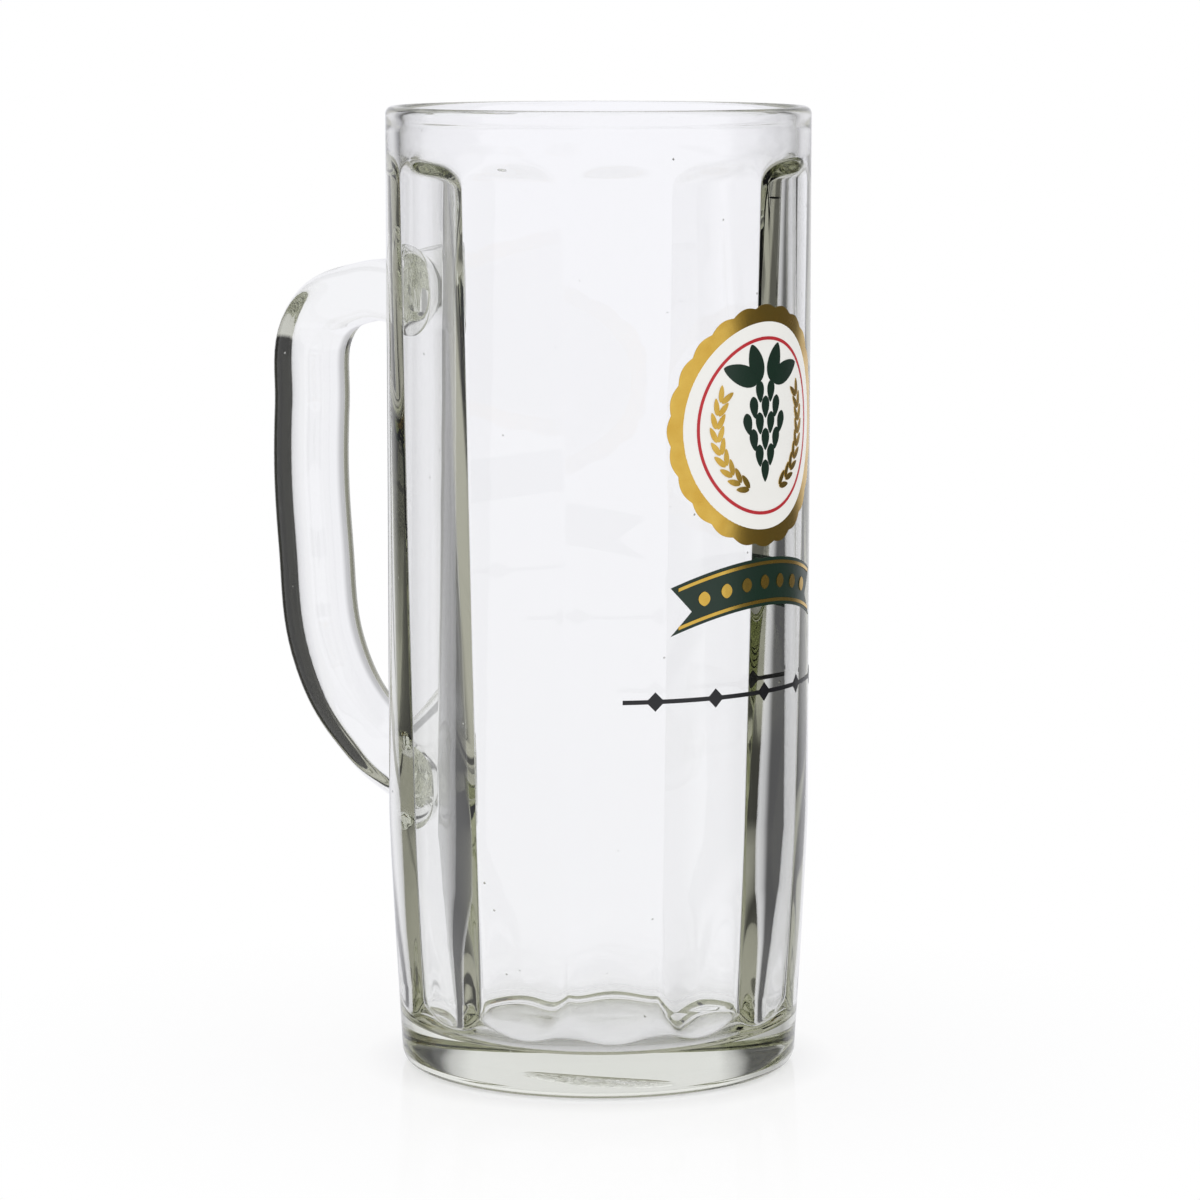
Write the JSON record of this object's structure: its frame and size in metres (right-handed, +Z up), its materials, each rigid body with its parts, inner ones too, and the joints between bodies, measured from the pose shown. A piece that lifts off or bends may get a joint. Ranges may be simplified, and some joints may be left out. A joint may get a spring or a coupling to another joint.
{
  "type": "beer mug",
  "caption": "Tall straight-walled glass beer mug with arched panels pressed inside, a welded loop handle and a fired-on colour print, to drink from and lift by the handle.",
  "frame": {"origin": "on the mug's axis, in the plane of the ring that it rests on", "axes": "+Z up along the mug's axis, the print faces +X and the handle lies towards -X"},
  "size_m": [0.1185, 0.078, 0.1775],
  "materials": {
    "body_glass": "fire-polished clear glass",
    "handle_glass": "fire-polished clear glass",
    "gold_lustre": "fired-on gold lustre",
    "white_enamel": "fired-on opaque enamel",
    "red_enamel": "fired-on opaque enamel",
    "green_enamel": "fired-on opaque enamel",
    "black_enamel": "fired-on opaque enamel"
  },
  "bodies": {
    "root": {"glass_body": "body_glass", "handle": "handle_glass", "print_gold_ring": "gold_lustre", "print_white_field": "white_enamel", "print_red_line": "red_enamel", "print_green_ribbon": "green_enamel", "print_black_rule": "black_enamel"}
  },
  "joints": []
}
